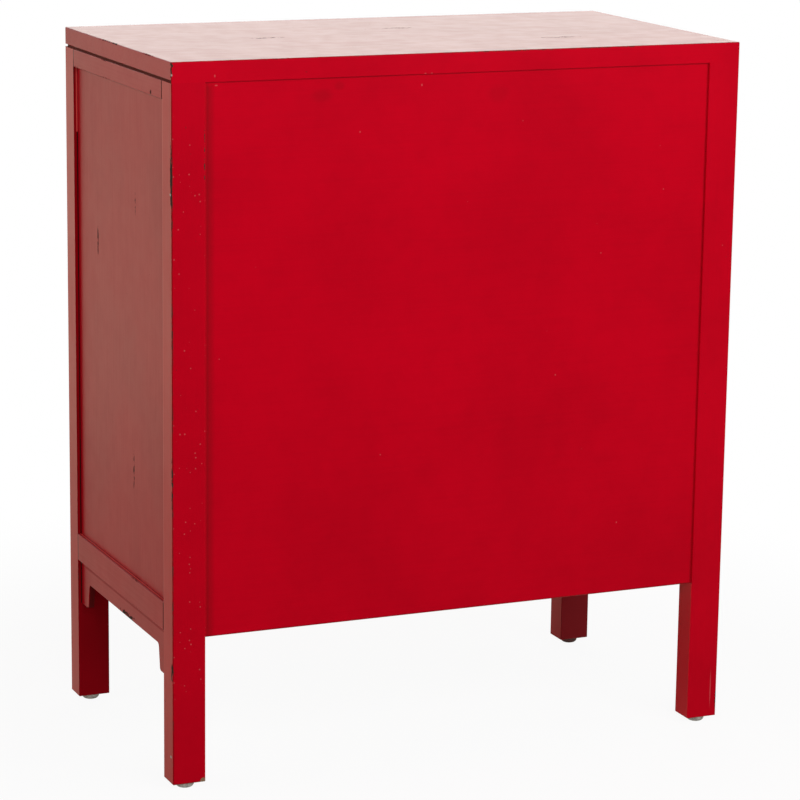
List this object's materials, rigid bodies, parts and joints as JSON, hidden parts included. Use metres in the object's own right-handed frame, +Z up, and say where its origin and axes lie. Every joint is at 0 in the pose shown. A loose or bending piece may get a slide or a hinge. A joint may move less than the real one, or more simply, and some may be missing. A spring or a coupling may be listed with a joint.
{
  "type": "entryway cabinet",
  "caption": "Red lacquered entryway cabinet on post legs, with drawers over doors, ring pulls and a plain panelled back.",
  "frame": {"origin": "bottom centre of the box round the whole cabinet, on the floor", "axes": "+Z up, +X to the right and -Y out of the front, as seen by a person who stands at the front"},
  "size_m": [0.763, 0.4282, 0.904],
  "materials": {
    "red_lacquer": "satin red lacquer over wood, worn dark along the edges",
    "bare_wood": "plain sanded wood",
    "brass": "aged brass",
    "glide_steel": "dull nickel"
  },
  "bodies": {
    "case": {"top_slab": "red_lacquer", "back_panel": "red_lacquer", "back_top_rail": "bare_wood", "back_middle_rail": "bare_wood", "back_bottom_rail": "bare_wood", "front_top_rail": "red_lacquer", "front_middle_rail": "red_lacquer", "front_bottom_rail": "red_lacquer", "front_apron": "red_lacquer", "drawer_divider": "red_lacquer", "bottom_board": "bare_wood", "shelf": "bare_wood", "shelf_cleats": "bare_wood", "drawer_runners_and_kickers": "bare_wood", "door_catches": "brass", "floor_glides": "glide_steel", "case_hinge_leaves": "brass", "hinge_pins": "brass", "post_front_right": "red_lacquer", "post_front_left": "red_lacquer", "post_back_right": "red_lacquer", "post_back_left": "red_lacquer", "side_top_rail_right": "red_lacquer", "side_top_rail_left": "red_lacquer", "side_bottom_rail_right": "red_lacquer", "side_bottom_rail_left": "red_lacquer", "side_panel_right": "red_lacquer", "side_panel_left": "red_lacquer", "side_apron_right": "red_lacquer", "side_apron_left": "red_lacquer"},
    "door_right": {"door_right_hinge_stile": "red_lacquer", "door_right_meeting_stile": "red_lacquer", "door_right_top_rail": "red_lacquer", "door_right_bottom_rail": "red_lacquer", "door_right_panel": "red_lacquer", "door_right_hinge_leaves": "brass", "door_right_pull_post": "brass"},
    "door_left": {"door_left_hinge_stile": "red_lacquer", "door_left_meeting_stile": "red_lacquer", "door_left_top_rail": "red_lacquer", "door_left_bottom_rail": "red_lacquer", "door_left_panel": "red_lacquer", "door_left_hinge_leaves": "brass", "door_left_pull_post": "brass"},
    "door_right_ring": {"door_right_pull_ring": "brass"},
    "door_left_ring": {"door_left_pull_ring": "brass"},
    "drawer_right": {"drawer_right_front": "red_lacquer", "drawer_right_inner_side": "bare_wood", "drawer_right_outer_side": "bare_wood", "drawer_right_back": "bare_wood", "drawer_right_bottom": "bare_wood", "drawer_right_pull_post": "brass"},
    "drawer_left": {"drawer_left_front": "red_lacquer", "drawer_left_inner_side": "bare_wood", "drawer_left_outer_side": "bare_wood", "drawer_left_back": "bare_wood", "drawer_left_bottom": "bare_wood", "drawer_left_pull_post": "brass"},
    "drawer_right_ring": {"drawer_right_pull_ring": "brass"},
    "drawer_left_ring": {"drawer_left_pull_ring": "brass"}
  },
  "joints": [
    {"name": "door_right_swing", "type": "hinge", "parent": "case", "child": "door_right", "pos_m": [0.338, -0.2017, 0.4775], "axis": [0, 0, 1], "range_deg": [0, 170]},
    {"name": "drawer_right_slide", "type": "slide", "parent": "case", "child": "drawer_right", "axis": [0, -1, 0], "range_m": [0, 0.27]},
    {"name": "door_right_ring_swing", "type": "hinge", "parent": "door_right", "child": "door_right_ring", "pos_m": [0.0235, -0.2089, 0.5055], "axis": [-1, 0, 0], "range_deg": [-17, 163]},
    {"name": "drawer_right_ring_swing", "type": "hinge", "parent": "drawer_right", "child": "drawer_right_ring", "pos_m": [0.1755, -0.2089, 0.80945], "axis": [-1, 0, 0], "range_deg": [-17, 163]},
    {"name": "door_left_swing", "type": "hinge", "parent": "case", "child": "door_left", "pos_m": [-0.338, -0.2017, 0.4775], "axis": [0, 0, -1], "range_deg": [0, 170]},
    {"name": "drawer_left_slide", "type": "slide", "parent": "case", "child": "drawer_left", "axis": [0, -1, 0], "range_m": [0, 0.27]},
    {"name": "door_left_ring_swing", "type": "hinge", "parent": "door_left", "child": "door_left_ring", "pos_m": [-0.0235, -0.2089, 0.5055], "axis": [-1, 0, 0], "range_deg": [-17, 163]},
    {"name": "drawer_left_ring_swing", "type": "hinge", "parent": "drawer_left", "child": "drawer_left_ring", "pos_m": [-0.1755, -0.2089, 0.80945], "axis": [-1, 0, 0], "range_deg": [-17, 163]}
  ]
}
